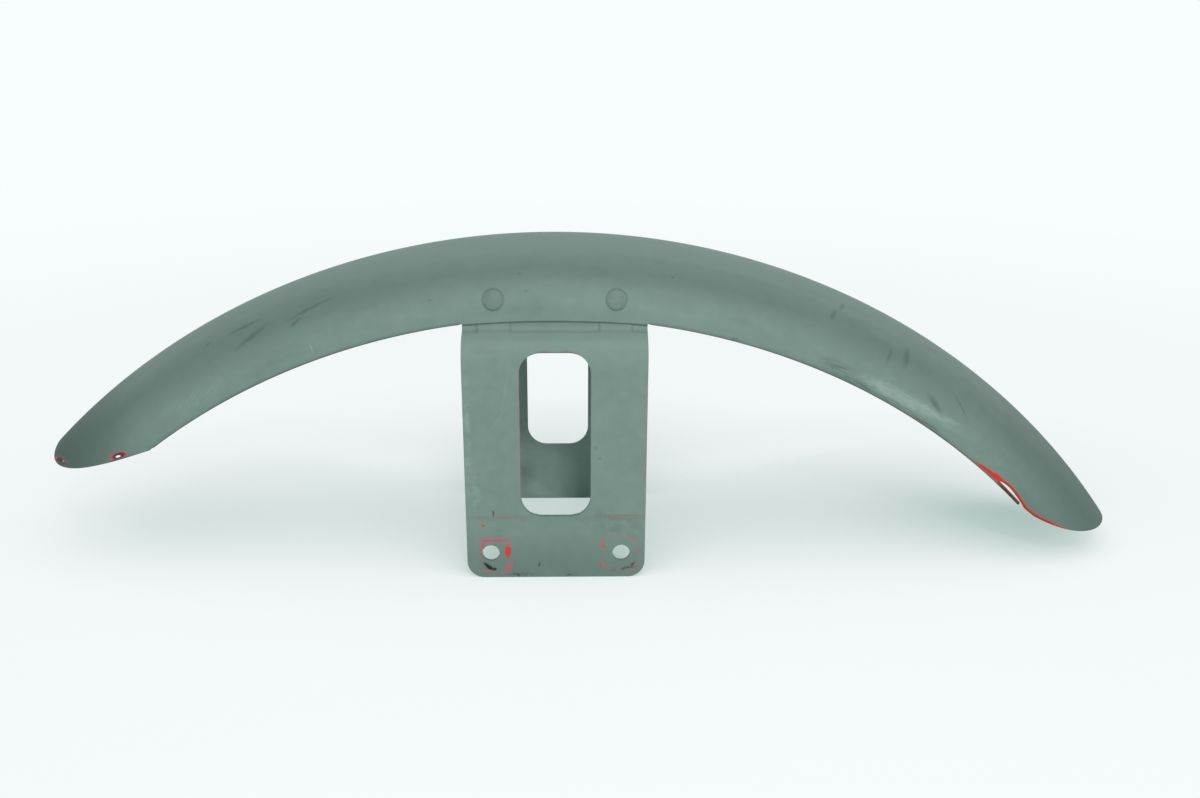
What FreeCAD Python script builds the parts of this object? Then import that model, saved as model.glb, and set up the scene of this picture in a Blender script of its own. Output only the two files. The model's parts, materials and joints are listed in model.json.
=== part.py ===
import FreeCAD, Part
import math
import os
from FreeCAD import Vector

# Motorcycle front fender: a pressed steel blade riveted over a folded steel fork bracket.
# Millimetres and degrees. +X points to the rear of the machine, +Y to its right side and +Z up.
# Z is 0 at the feet of the bracket, X and Y are 0 at the middle of the length and width.

# Blade: a channel of thin sheet bent to an arc about the wheel's axle
crown_radius = 355.0
crown_height = 160.8
blade_width = 77.5
blade_depth = 32.7
side_straight = 5.0
blade_sheet = 1.3
lip_width = 5.0
lip_bend = 2.5
front_angle = 45.1
rear_angle = 53.75

# Rounded ends: three poles draw each outline, from the crown down to the lower edge.
# A pole lies at an angle back from the tip and at a depth below the crown.
front_square_depth = 3.5
front_bulge_angle = 0.1
front_bulge_depth = 13.5
front_tongue_angle = 8.3
rear_square_depth = 0.4
rear_bulge_angle = 3.2
rear_bulge_depth = 26.5
rear_tongue_angle = 8.35

# Small oblong hole close to the lower edge of the front end
front_hole_back = 5.8
front_hole_depth = 25.4
front_hole_length = 6.2
front_hole_width = 2.3
front_hole_slope = 25.0

# Torn hole at the rear of the left edge, which leaves a thin finger of lip below it
tear_angle = 3.2
tear_peak_angle = 1.9
tear_mouth_angle = 0.5
tear_height = 3.9
finger_height = 1.6

# Fork bracket: a saddle under the crown with two legs that step out past the blade
bracket_sheet = 2.3
bracket_width = 86.6
bracket_spread = 98.6
saddle_gap = 0.1
edge_gap = 0.2
lip_relief = 1.5
step_bend = 2.4
step_slope = 60.0
leg_bend = 12.5
foot_set_in = 0.5
foot_line_height = 32.0
foot_line_run = 3.0
foot_corner = 8.5
window_width = 33.4
window_bottom = 32.4
window_rise = 5.65
window_corner = 10.5

# Bolt holes in the feet
bolt_spacing = 63.5
bolt_hole = 8.5
bolt_height = 13.0

# Shallow recesses between and beside the two riveted strips of each leg
recess_depth = 0.4
recess_bottom_drop = 2.0
recess_width = 41.4
strip_width = 15.4

# Rivets: two on each side, square to the curved wall
rivet_spacing = 57.2
rivet_rise = 10.6
rivet_head = 9.2
rivet_dome = 1.1
rivet_rim = 0.35
rivet_shank = 5.0
rivet_hole_gap = 0.05
rivet_tail = 8.4
rivet_tail_height = 1.2

# Extra angle swept past an end before it is trimmed, and the closeness that counts as one place
trim_margin = 1.5
same_place = 1e-6

# Places that follow from the sizes above
middle = Vector(0, 0, 0)
across = Vector(0, 1, 0)
edge_radius = crown_radius - blade_depth
shoulder_radius = edge_radius + side_straight
axle = Vector(0, 0, crown_height - crown_radius)
half_blade = blade_width / 2
blade_rise = blade_depth - side_straight
front_kink = front_angle - front_tongue_angle
rear_kink = rear_angle - rear_tongue_angle
front_reach = crown_radius * math.sin(math.radians(front_angle))
rear_reach = crown_radius * math.sin(math.radians(rear_angle))
middle_x = (rear_reach - front_reach) / 2
half_bracket = bracket_width / 2
saddle_side = half_blade - blade_sheet - saddle_gap
saddle_rise = blade_rise - blade_sheet - saddle_gap
leg_side = bracket_spread / 2
step_top = axle.z + math.sqrt(edge_radius ** 2 - half_bracket ** 2) - edge_gap
saddle_seat = axle.z + edge_radius + side_straight / 2
step_turn = math.radians(step_slope)
step_reach = leg_side - saddle_side - (step_bend + leg_bend) * (1 - math.cos(step_turn))
slope_length = step_reach / math.sin(step_turn)
step_foot = step_top - (step_bend + leg_bend) * math.sin(step_turn) - slope_length * math.cos(step_turn)
grip = blade_sheet + saddle_gap + bracket_sheet
clear = 2 * bracket_spread


def polar(angle, radius, y=0.0):
    """Point at an angle from the top of the arc, positive to the rear, and a radius from the axle."""
    turn = math.radians(angle)
    return Vector(radius * math.sin(turn), y, axle.z + radius * math.cos(turn))


def line(start, end):
    return Part.LineSegment(start, end).toShape()


def path(points):
    """Straight edges from each point to the next, leaving out any of no length."""
    edges = []
    for start, end in zip(points, points[1:]):
        if start.distanceToPoint(end) > same_place:
            edges.append(line(start, end))
    return edges


def arc_about(centre, radius, start, stop):
    """Arc in the Y-Z plane about a centre, between two angles measured from +Y towards +Z."""
    points = []
    for angle in (start, (start + stop) / 2, stop):
        turn = math.radians(angle)
        points.append(centre + Vector(0, radius * math.cos(turn), radius * math.sin(turn)))
    return Part.Arc(*points).toShape()


def face_from(edges):
    return Part.Face(Part.Wire(Part.__sortEdges__(edges)))


def both_sides(shapes):
    """Shapes of the right side with their mirror images on the left."""
    return shapes + [shape.mirror(middle, across) for shape in shapes]


def swept(section, start, stop):
    """Section turned about the axle from one angle to another."""
    placed = section.copy()
    placed.rotate(axle, across, start)
    return placed.revolve(axle, across, stop - start)


def along_x(face, start, stop):
    """Face in the Y-Z plane extruded along X between two places."""
    moved = face.copy()
    moved.translate(Vector(start, 0, 0))
    return moved.extrude(Vector(stop - start, 0, 0))


def along_y(face, start, stop):
    """Face in the X-Z plane extruded along Y between two places."""
    moved = face.copy()
    moved.translate(Vector(0, start, 0))
    return moved.extrude(Vector(0, stop - start, 0))


def across_block(width, bottom, top):
    """Block centred on the bracket, long enough to pass both legs."""
    return Part.makeBox(width, clear, top - bottom, Vector(-width / 2, -clear / 2, bottom))


def rounded(block, corner, round_top):
    """Block with the lower edges that run across it rounded, and the upper ones too where asked."""
    edges = []
    for edge in block.Edges:
        runs_across = edge.Curve.Direction.isParallel(across, same_place)
        low = edge.CenterOfMass.z < block.CenterOfMass.z
        if runs_across and (low or round_top):
            edges.append(edge)
    return block.makeFillet(corner, edges)


def channel_half(half_width, rise, foot_radius):
    """Right half of a channel at the top of the arc: a quarter ellipse on an upright side."""
    side_top = polar(0, shoulder_radius, half_width)
    corner = polar(0, shoulder_radius + rise, half_width)
    crown = polar(0, shoulder_radius + rise)
    curve = Part.BezierCurve()
    curve.setPoles([side_top, corner, crown])
    curve.setWeight(2, math.sqrt(0.5))
    return [curve.toShape(), line(polar(0, foot_radius, half_width), side_top)]


def channel_section(half_width, rise, sheet):
    """Closed section of a plain channel of sheet, with square lower edges."""
    half = channel_half(half_width, rise, edge_radius)
    half += channel_half(half_width - sheet, rise - sheet, edge_radius)
    half.append(line(polar(0, edge_radius, half_width), polar(0, edge_radius, half_width - sheet)))
    return face_from(both_sides(half))


def lipped_section(half_width, rise, sheet):
    """Closed section of the channel whose lower edges turn inward to a lip."""
    bend_foot = edge_radius + lip_bend
    half = channel_half(half_width, rise, bend_foot)
    half += channel_half(half_width - sheet, rise - sheet, bend_foot)
    centre = polar(0, bend_foot, half_width - lip_bend)
    lip_end = half_width - lip_width
    for radius in (lip_bend, lip_bend - sheet):
        half.append(arc_about(centre, radius, 0, -90))
        half += path([centre - Vector(0, 0, radius), polar(0, bend_foot - radius, lip_end)])
    half.append(line(polar(0, edge_radius, lip_end), polar(0, edge_radius + sheet, lip_end)))
    return face_from(both_sides(half))


def end_trim(end, tip, square_depth, bulge_angle, bulge_depth, tongue_angle):
    """Prism that cuts one end of the blade to its rounded outline; end is -1 at the front, 1 at the rear."""
    kink = tip - tongue_angle
    past = tip + tongue_angle
    inside = edge_radius - blade_depth
    outside = crown_radius + blade_depth
    poles = [polar(end * tip, crown_radius - square_depth),
             polar(end * (tip - bulge_angle), crown_radius - bulge_depth),
             polar(end * kink, edge_radius)]
    outline = Part.BezierCurve()
    outline.setPoles(poles)
    edges = path([poles[2],
                  polar(end * kink, inside),
                  polar(end * past, inside),
                  polar(end * past, outside),
                  polar(end * tip, outside),
                  poles[0]])
    return along_y(face_from([outline.toShape()] + edges), -clear / 2, clear / 2)


def front_hole():
    """Oblong prism through both sides of the front end, sloped along its lower edge."""
    radius = front_hole_width / 2
    half = front_hole_length / 2 - radius
    edges = []
    for side in (-1, 1):
        upper = Vector(side * half, 0, radius)
        tip = Vector(side * (half + radius), 0, 0)
        lower = Vector(side * half, 0, -radius)
        edges.append(Part.Arc(upper, tip, lower).toShape())
        edges.append(line(Vector(-half, 0, side * radius), Vector(half, 0, side * radius)))
    face = face_from(edges)
    angle = front_hole_back - front_angle
    face.rotate(middle, across, angle + front_hole_slope)
    face.translate(polar(angle, crown_radius - front_hole_depth))
    return along_y(face, -clear / 2, clear / 2)


def rear_tear():
    """Prism through the left side at the rear kink: a lens that opens past the end of the finger."""
    finger_top = edge_radius + finger_height
    below = edge_radius - blade_depth
    past = rear_kink + tear_peak_angle
    start = polar(rear_kink - tear_angle, finger_top)
    peak = polar(rear_kink - tear_peak_angle, edge_radius + tear_height)
    mouth = polar(rear_kink + tear_mouth_angle, finger_top)
    edges = path([mouth,
                  polar(past, finger_top),
                  polar(past, below),
                  polar(rear_kink, below),
                  polar(rear_kink, finger_top),
                  start])
    edges.append(Part.Arc(start, peak, mouth).toShape())
    return along_y(face_from(edges), -clear / 2, 2 * lip_width - half_blade)


def rivet_axes():
    """Point on the outer wall and outward direction of each rivet."""
    slant = math.asin((rivet_rise - side_straight) / blade_rise)
    radius = edge_radius + rivet_rise
    angle = math.degrees(math.asin(rivet_spacing / 2 / radius))
    axes = []
    for side in (-1, 1):
        for end in (-1, 1):
            out = Vector(0, side * math.cos(slant) / half_blade, math.sin(slant) / blade_rise)
            out.normalize()
            turn = FreeCAD.Rotation(across, end * angle)
            point = polar(end * angle, radius, side * half_blade * math.cos(slant))
            axes.append((point, turn.multVec(out)))
    return axes


def rivet_holes():
    """Cylinders along the rivet axes, a little wider than the shanks and through both sheets."""
    radius = rivet_shank / 2 + rivet_hole_gap
    holes = []
    for point, out in rivet_axes():
        holes.append(Part.makeCylinder(radius, 4 * grip, point - out * 2 * grip, out))
    return holes


def fender_blade():
    """Lipped channel, plain at its ends and across the bracket, with its ends and holes cut."""
    plain = channel_section(half_blade, blade_rise, blade_sheet)
    lipped = lipped_section(half_blade, blade_rise, blade_sheet)
    relief = math.degrees(math.asin((half_bracket + lip_relief) / edge_radius))
    lengths = [swept(plain, -front_angle - trim_margin, -front_kink),
               swept(lipped, -front_kink, -relief),
               swept(plain, -relief, relief),
               swept(lipped, relief, rear_kink),
               swept(plain, rear_kink, rear_angle + trim_margin)]
    front = (front_square_depth, front_bulge_angle, front_bulge_depth, front_tongue_angle)
    rear = (rear_square_depth, rear_bulge_angle, rear_bulge_depth, rear_tongue_angle)
    cuts = [end_trim(-1, front_angle, *front), end_trim(1, rear_angle, *rear), front_hole(), rear_tear()]
    blade = lengths[0].fuse(lengths[1:]).removeSplitter()
    return blade.cut(cuts + rivet_holes())


def leg_face(depth):
    """Outer edges of the right leg at a depth below its outer face, from the saddle to the foot."""
    inner_centre = Vector(0, saddle_side + step_bend, step_top)
    outer_centre = Vector(0, leg_side - leg_bend, step_foot)
    inner_arc = arc_about(inner_centre, step_bend + depth, 180, 180 + step_slope)
    outer_arc = arc_about(outer_centre, leg_bend - depth, step_slope, 0)
    head = Vector(0, saddle_side - depth, saddle_seat)
    side = leg_side - depth
    fold_top = Vector(0, side, foot_line_height + foot_line_run / 2)
    fold_low = Vector(0, side - foot_set_in, foot_line_height - foot_line_run / 2)
    foot = Vector(0, side - foot_set_in, 0)
    edges = [inner_arc, outer_arc]
    edges += path([head, inner_arc.firstVertex().Point])
    edges += path([inner_arc.lastVertex().Point, outer_arc.firstVertex().Point])
    edges += path([outer_arc.lastVertex().Point, fold_top, fold_low, foot])
    return head, edges, foot


def leg_section(depth):
    """Closed section of the right leg between its outer face and a depth below it."""
    outer_head, outer_edges, outer_foot = leg_face(0)
    inner_head, inner_edges, inner_foot = leg_face(depth)
    ends = [line(outer_head, inner_head), line(outer_foot, inner_foot)]
    return face_from(outer_edges + inner_edges + ends)


def leg_recesses():
    """Thin slabs off the head of the right leg, between and beside its two riveted strips."""
    strip_start = recess_width / 2
    strip_stop = strip_start + strip_width
    spans = [(-half_bracket, -strip_stop), (-strip_start, strip_start), (strip_stop, half_bracket)]
    above = across_block(bracket_width, step_top - recess_bottom_drop, crown_height)
    skin = leg_section(recess_depth)
    return [along_x(skin, start, stop).common(above) for start, stop in spans]


def fork_bracket():
    """Saddle under the crown and two stepped legs, with rounded feet, windows and bolt holes."""
    reach = math.degrees(math.asin(half_bracket / edge_radius)) + trim_margin
    saddle = swept(channel_section(saddle_side, saddle_rise, bracket_sheet), -reach, reach)
    leg = along_x(leg_section(bracket_sheet), -half_bracket, half_bracket)
    outline = rounded(across_block(bracket_width, 0, crown_height), foot_corner, False)
    window = rounded(across_block(window_width, window_bottom, step_foot + window_rise), window_corner, True)
    cuts = [window] + both_sides(leg_recesses()) + rivet_holes()
    for end in (-1, 1):
        start = Vector(end * bolt_spacing / 2, -clear / 2, bolt_height)
        cuts.append(Part.makeCylinder(bolt_hole / 2, clear, start, across))
    bracket = saddle.common(outline).fuse(both_sides([leg])).removeSplitter()
    return bracket.common(outline).cut(cuts)


def rivet(point, out):
    """Low domed rivet with a flat tail, before its heads are seated on the curved sheets."""
    radius = rivet_head / 2
    dome_radius = (radius ** 2 + rivet_dome ** 2) / (2 * rivet_dome)
    shank = Part.makeCylinder(rivet_shank / 2, grip, Vector(0, 0, -grip))
    rim = Part.makeCylinder(radius, rivet_rim + blade_sheet / 2, Vector(0, 0, -blade_sheet / 2))
    ball = Part.makeSphere(dome_radius, Vector(0, 0, rivet_rim + rivet_dome - dome_radius))
    cap = ball.common(Part.makeCylinder(radius, 2 * rivet_dome, Vector(0, 0, rivet_rim)))
    tail_depth = rivet_tail_height + bracket_sheet / 2
    tail = Part.makeCylinder(rivet_tail / 2, tail_depth, Vector(0, 0, -grip - rivet_tail_height))
    solid = shank.fuse([rim, cap, tail]).removeSplitter()
    solid.Placement = FreeCAD.Placement(point, FreeCAD.Rotation(Vector(0, 0, 1), out))
    return solid


def rivets(blade, bracket):
    """The rivets, with their heads shaped to the sheets that they clamp."""
    seated = []
    for point, out in rivet_axes():
        pieces = rivet(point, out).cut([blade, bracket]).Solids
        seated.append(max(pieces, key=lambda piece: piece.Volume))
    return Part.makeCompound(seated)


def export(name, shape):
    placed = shape.copy()
    placed.translate(Vector(-middle_x, 0, 0))
    placed.exportStep("parts/" + name + ".step")
    print(name, len(placed.Solids), "solids", round(placed.Volume, 1), "mm3, valid", placed.isValid())


os.makedirs("parts", exist_ok=True)
blade_shape = fender_blade()
bracket_shape = fork_bracket()
export("fender_blade", blade_shape)
export("fork_bracket", bracket_shape)
export("rivets", rivets(blade_shape, bracket_shape))
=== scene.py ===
import json

import bpy
import numpy as np
from mathutils import Matrix, Vector
from mathutils.geometry import delaunay_2d_cdt


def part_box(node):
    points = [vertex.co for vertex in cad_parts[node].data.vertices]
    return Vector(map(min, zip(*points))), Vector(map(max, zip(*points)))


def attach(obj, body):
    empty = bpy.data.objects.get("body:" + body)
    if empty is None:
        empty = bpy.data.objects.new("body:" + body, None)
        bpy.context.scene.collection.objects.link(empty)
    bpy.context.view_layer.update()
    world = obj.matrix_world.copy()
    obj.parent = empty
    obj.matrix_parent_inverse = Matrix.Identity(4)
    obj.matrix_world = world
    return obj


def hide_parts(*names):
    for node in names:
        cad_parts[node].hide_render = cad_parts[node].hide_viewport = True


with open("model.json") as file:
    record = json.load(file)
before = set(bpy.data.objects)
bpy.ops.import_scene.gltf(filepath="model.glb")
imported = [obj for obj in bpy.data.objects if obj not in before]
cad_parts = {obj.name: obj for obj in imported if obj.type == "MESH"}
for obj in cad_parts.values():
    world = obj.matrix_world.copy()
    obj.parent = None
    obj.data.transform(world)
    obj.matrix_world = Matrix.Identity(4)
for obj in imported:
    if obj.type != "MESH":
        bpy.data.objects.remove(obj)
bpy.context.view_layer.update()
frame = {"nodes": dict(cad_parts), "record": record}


# Fork bracket
# One strip of 2.3 mm steel, pressed to a saddle under the blade and folded down into two legs.
# Each leg steps out past the blade's edge, has a punched window and ends in a foot with two bolt holes.
mm = 0.001
_, blade_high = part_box("fender_blade")
bracket_low, bracket_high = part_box("fork_bracket")
left_bolts = frame["record"]["mounts"][0]
crown_radius = 355 * mm
blade_depth = 32.7 * mm
side_straight = 5 * mm
edge_radius = crown_radius - blade_depth
shoulder_radius = edge_radius + side_straight
axle_z = blade_high.z - crown_radius
arc_x = left_bolts["pos_m"][0]
half_bracket = (bracket_high.x - bracket_low.x) / 2
leg_side = bracket_high.y
bracket_sheet = 2.3 * mm
saddle_inset = 1.4 * mm
saddle_side = blade_high.y - saddle_inset
saddle_rise = blade_depth - side_straight - saddle_inset
step_bend = 2.4 * mm
step_slope = 60
leg_bend = 12.5 * mm
step_gap = 0.2 * mm
step_top = axle_z + np.sqrt(edge_radius ** 2 - half_bracket ** 2) - step_gap
step_turn = np.radians(step_slope)
step_reach = leg_side - saddle_side - (step_bend + leg_bend) * (1 - np.cos(step_turn))
step_foot = step_top - (step_bend + leg_bend) * np.sin(step_turn) - step_reach / np.tan(step_turn)
fold_top = 33.5 * mm
fold_low = 30.5 * mm
foot_set_in = 0.5 * mm
foot_corner = 8.5 * mm
window_half = 16.7 * mm
window_low = 32.4 * mm
window_rise = 5.65 * mm
window_high = step_foot + window_rise
window_corner = 10.5 * mm
bolt_z = left_bolts["pos_m"][2]
bolt_half = left_bolts["dims"]["spacing_x_mm"] / 2 * mm
bolt_radius = left_bolts["dims"]["hole_r_mm"] * mm
recess_depth = 0.4 * mm
recess_drop = 2.7 * mm
recess_half = 20.7 * mm
strip_width = 15.4 * mm
rivet_half = 28.6 * mm
rivet_radius = 332.51 * mm
rivet_hole = 2.55 * mm
cut_round = 0.15 * mm
cut_spacing = 1.2 * mm
block_points = 400


def arc(centre, radii, start, stop, count=40):
    """Points on an ellipse about a centre, between two angles from its first axis towards its second."""
    turn = np.radians(np.linspace(start, stop, count))
    return np.array(centre) + np.stack([radii[0] * np.cos(turn), radii[1] * np.sin(turn)], 1)


def half_section(stretches, spacing=0.1 * mm):
    """Length along a half section, its points and its outward normals, at an even spacing.

    The points are read off the joined stretches by length, and the normal is the direction of travel
    turned a quarter turn to the left, which is outward for a section drawn from the crown downward.
    """
    corners = np.concatenate(stretches)
    reach = np.append(0, np.cumsum(np.linalg.norm(np.diff(corners, axis=0), axis=1)))
    reach, first = np.unique(reach, return_index=True)
    corners = corners[first]
    length = np.linspace(0, reach[-1], int(reach[-1] / spacing))
    points = np.stack([np.interp(length, reach, corners[:, 0]), np.interp(length, reach, corners[:, 1])], 1)
    travel = np.gradient(points, axis=0)
    travel /= np.linalg.norm(travel, axis=1)[:, None]
    return length, np.column_stack([points, -travel[:, 1], travel[:, 0]])


def read_section(section, length):
    """Side, height and the two parts of the normal at each length along a half section."""
    known, values = section
    return np.stack([np.interp(length, known, column) for column in values.T])


def ramp(value, start, stop):
    """Smooth step from 0 at the start to 1 at the stop: 3t^2 - 2t^3 of the share of the way between them."""
    share = np.clip((value - start) / (stop - start), 0, 1)
    return share * share * (3 - 2 * share)


def rounded_loop(centre, half, radius, steps=14):
    """Anticlockwise rectangle with quarter circles at its corners; with equal halves and radius, a circle."""
    turn = np.radians(np.linspace(0, 90, steps))
    quarters = np.arange(4)[:, None] * np.pi / 2 + turn
    signs = np.array([(1, 1), (-1, 1), (-1, -1), (1, -1)])
    inner = np.array(centre) + signs * (np.array(half) - radius)
    return (inner[:, None] + radius * np.stack([np.cos(quarters), np.sin(quarters)], 2)).reshape(-1, 2)


def finer_loop(loop, spacing):
    """The same closed loop with points added by length, so that no straight stretch exceeds the spacing."""
    closed = np.concatenate([loop, loop[:1]])
    reach = np.append(0, np.cumsum(np.linalg.norm(np.diff(closed, axis=0), axis=1)))
    kept = reach[:-1][np.diff(reach) > spacing / 20]
    added = np.arange(0, reach[-1], spacing)
    added = added[np.abs(added[:, None] - reach).min(1) > spacing / 2]
    length = np.sort(np.concatenate([kept, added]))
    return np.stack([np.interp(length, reach, closed[:, 0]), np.interp(length, reach, closed[:, 1])], 1)


def inside_loops(points, loops):
    """Even-odd rule: inside where a line along the first axis crosses the loops an odd number of times."""
    start = np.concatenate(loops)
    end = np.concatenate([np.roll(loop, -1, axis=0) for loop in loops])
    rise = np.where(end[:, 1] == start[:, 1], 1, end[:, 1] - start[:, 1])
    answers = []
    for block in np.array_split(points, len(points) // block_points + 1):
        height = block[:, 1:]
        spanned = (start[:, 1] > height) != (end[:, 1] > height)
        crossing = start[:, 0] + (height - start[:, 1]) * (end[:, 0] - start[:, 0]) / rise
        answers.append((spanned & (block[:, :1] < crossing)).sum(1) % 2 == 1)
    return np.concatenate(answers)


def edge_distance(points, loops):
    """Distance from each point to the nearest straight piece of the loops."""
    start = np.concatenate(loops)
    reach = np.concatenate([np.roll(loop, -1, axis=0) for loop in loops]) - start
    answers = []
    for block in np.array_split(points, len(points) // block_points + 1):
        offset = block[:, None] - start
        share = np.clip((offset * reach).sum(2) / (reach ** 2).sum(1), 0, 1)
        answers.append(np.linalg.norm(offset - share[..., None] * reach, axis=2).min(1))
    return np.concatenate(answers)


def trimmed_sheet(name, loops, columns, rows, face, sheet):
    """Closed sheet cut to loops drawn on its flat pattern, with face(pattern, depth) as its form.

    Delaunay triangles fill the pattern between its loops and the crossings of the columns and rows.
    They are laid at depth 0 for the outer face and at the sheet's thickness for the inner one.
    Rings of quads join the two: in by twice the rounding, in by once, then down the cut edge and back.
    Each point keeps its pattern place as a UV, its distance to the cut edge and its share of the depth.
    """
    loops = [finer_loop(loop, cut_spacing) for loop in loops]
    counts = [len(loop) for loop in loops]
    starts = np.cumsum([0] + counts)
    following = np.concatenate([first + np.roll(np.arange(n), -1) for first, n in zip(starts, counts)])
    leading = np.concatenate([first + np.roll(np.arange(n), 1) for first, n in zip(starts, counts)])
    rim = np.concatenate(loops)
    travel = rim[following] - rim[leading]
    inward = np.stack([-travel[:, 1], travel[:, 0]], 1) / np.linalg.norm(travel, axis=1)[:, None]
    once, twice = rim + cut_round * inward, rim + 2 * cut_round * inward
    inner_loops = np.split(twice, starts[1:-1])
    grid = np.stack(np.meshgrid(columns, rows), -1).reshape(-1, 2)
    grid = grid[inside_loops(grid, inner_loops)]
    grid_edge = edge_distance(grid, inner_loops)
    clear = grid_edge > 2 * cut_round
    flat = np.concatenate([twice, grid[clear]])
    rim_edge = np.zeros(len(rim))
    flat_edge = 2 * cut_round + np.append(rim_edge, grid_edge[clear])
    links = np.stack([np.arange(len(rim)), following], 1)
    triangles = np.array(delaunay_2d_cdt(flat.tolist(), links.tolist(), [], 0, 1e-9)[2])
    along_rim = (triangles < len(rim)).all(1)
    bridges = triangles[along_rim]
    bridges = bridges[inside_loops(flat[bridges].mean(1), inner_loops)]
    triangles = np.concatenate([triangles[~along_rim], bridges])

    depths = [0, 0, cut_round, sheet - cut_round, sheet, sheet]
    patterns = [flat, once, rim, rim, once, flat]
    firsts = np.cumsum([0] + [len(pattern) for pattern in patterns])
    here = links[:, 0]
    quads = []
    for upper, lower in zip(firsts[:-2], firsts[1:-1]):
        quads.append(np.stack([following + upper, here + upper, here + lower, following + lower], 1))
    points = np.concatenate([face(pattern, depth) for pattern, depth in zip(patterns, depths)])
    inner_face = triangles[:, ::-1] + firsts[-2]
    faces = triangles.tolist() + inner_face.tolist() + np.concatenate(quads).tolist()
    mesh = bpy.data.meshes.new(name)
    mesh.from_pydata(points.tolist(), [], faces)
    mesh.shade_smooth()
    corner_points = np.empty(len(mesh.loops), int)
    mesh.loops.foreach_get("vertex_index", corner_points)
    places = np.concatenate(patterns)
    mesh.uv_layers.new(name="pattern").data.foreach_set("uv", places[corner_points].ravel())
    edges = [flat_edge, rim_edge + cut_round, rim_edge, rim_edge, rim_edge + cut_round, flat_edge]
    mesh.attributes.new("edge", "FLOAT", "POINT").data.foreach_set("value", np.concatenate(edges))
    shares = [np.full(len(pattern), depth / sheet) for pattern, depth in zip(patterns, depths)]
    mesh.attributes.new("depth", "FLOAT", "POINT").data.foreach_set("value", np.concatenate(shares))
    piece = bpy.data.objects.new(name, mesh)
    bpy.context.scene.collection.objects.link(piece)
    return piece


leg_section = half_section([
    arc((0, axle_z + shoulder_radius), (saddle_side, saddle_rise), 90, 0),
    arc((saddle_side + step_bend, step_top), (step_bend, step_bend), 180, 180 + step_slope),
    arc((leg_side - leg_bend, step_foot), (leg_bend, leg_bend), step_slope, 0),
    [(leg_side, fold_top), (leg_side - foot_set_in, fold_low), (leg_side - foot_set_in, 0)],
])
strip_half = leg_section[0][-1]


def strip_place(height):
    """Length along the strip from its crown down to a height above the floor."""
    length, values = leg_section
    return np.interp(-height, -values[:, 1], length)


def bracket_face(pattern, depth):
    """Place of each pattern point: along the fender, and along the strip from its crown to either foot.

    The strip follows its half section on each side. Over the saddle the section swings about the axle,
    so it drops by r - sqrt(r^2 - x^2), and that drop fades out down the cheeks. The recesses beside and
    between the two riveted strips are pressed into the outer face only.
    """
    along, down = pattern.T
    y, z, out, up = read_section(leg_section, np.abs(down))
    swing = np.clip((z - step_top) / (axle_z + shoulder_radius - step_top), 0, 1)
    radius = z - axle_z
    drop = swing * (radius - np.sqrt(radius ** 2 - along ** 2))
    lean = swing * np.arcsin(along / radius)
    strips = ramp(np.abs(along), recess_half, recess_half + recess_step)
    strips -= ramp(np.abs(along), recess_half + strip_width, recess_half + strip_width + recess_step)
    band = ramp(-np.abs(down), -recess_end, recess_step - recess_end)
    band *= ramp(np.abs(down), strip_shoulder, recess_end)
    depth = depth + (1 - strips) * band * recess_depth * (1 - depth / bracket_sheet)
    place = np.stack([arc_x + along, np.sign(down) * y, z - drop], 1)
    return place - depth[:, None] * np.stack([up * np.sin(lean), np.sign(down) * out, up * np.cos(lean)], 1)


recess_step = 0.3 * mm
column_step = 2.5 * mm
row_step = 1.5 * mm
bend_step = 0.35 * mm
bend_margin = 1 * mm
recess_end = strip_place(step_top - recess_drop)
strip_shoulder = strip_place(axle_z + shoulder_radius)
bracket_loops = [rounded_loop((0, 0), (half_bracket, strip_half), foot_corner)]
window_place = (strip_place(window_low) + strip_place(window_high)) / 2
window_reach = (strip_place(window_low) - strip_place(window_high)) / 2
for side in (-1, 1):
    window = rounded_loop((0, side * window_place), (window_half, window_reach), window_corner)
    bracket_loops.append(window[::-1])
    for end in (-1, 1):
        bolt = (end * bolt_half, side * strip_place(bolt_z))
        bracket_loops.append(rounded_loop(bolt, (bolt_radius, bolt_radius), bolt_radius)[::-1])
        rivet = (end * rivet_half, side * strip_place(axle_z + rivet_radius))
        bracket_loops.append(rounded_loop(rivet, (rivet_hole, rivet_hole), rivet_hole)[::-1])
recess_columns = np.array([recess_half, recess_half + strip_width])
recess_columns = np.concatenate([recess_columns, recess_columns + recess_step])
bracket_columns = np.arange(-half_bracket, half_bracket, column_step)
bracket_columns = np.unique(np.concatenate([bracket_columns, recess_columns, -recess_columns]))
bend_start = strip_place(step_top) - bend_margin
bend_rows = np.arange(bend_start, strip_place(step_foot) + bend_margin, bend_step)
fold_rows = np.array([strip_place(fold_top), strip_place(fold_low)])
plain_rows = np.arange(0, strip_half, row_step)
bracket_rows = np.concatenate([plain_rows, bend_rows, fold_rows, [recess_end, recess_end - recess_step]])
bracket_rows = np.unique(np.concatenate([-bracket_rows, bracket_rows]))
bracket = trimmed_sheet("bracket", bracket_loops, bracket_columns, bracket_rows, bracket_face, bracket_sheet)
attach(bracket, "root")
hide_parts("fork_bracket")


def linear(code):
    """Linear red, green, blue and alpha of an sRGB hex colour, by the sRGB curve."""
    srgb = np.array([int(code[place:place + 2], 16) for place in (1, 3, 5)]) / 255
    light = np.where(srgb <= 0.04045, srgb / 12.92, ((srgb + 0.055) / 1.055) ** 2.4)
    return (*light.tolist(), 1)


def add_node(tree, kind, settings, links, output=0):
    """Add one node: settings are its options or plain input values, links are its joined inputs."""
    node = tree.nodes.new(kind)
    for key, value in settings.items():
        if isinstance(key, str) and hasattr(node, key):
            setattr(node, key, value)
        else:
            node.inputs[key].default_value = value
    for key, socket in links.items():
        tree.links.new(socket, node.inputs[key])
    return node.outputs[output]


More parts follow.
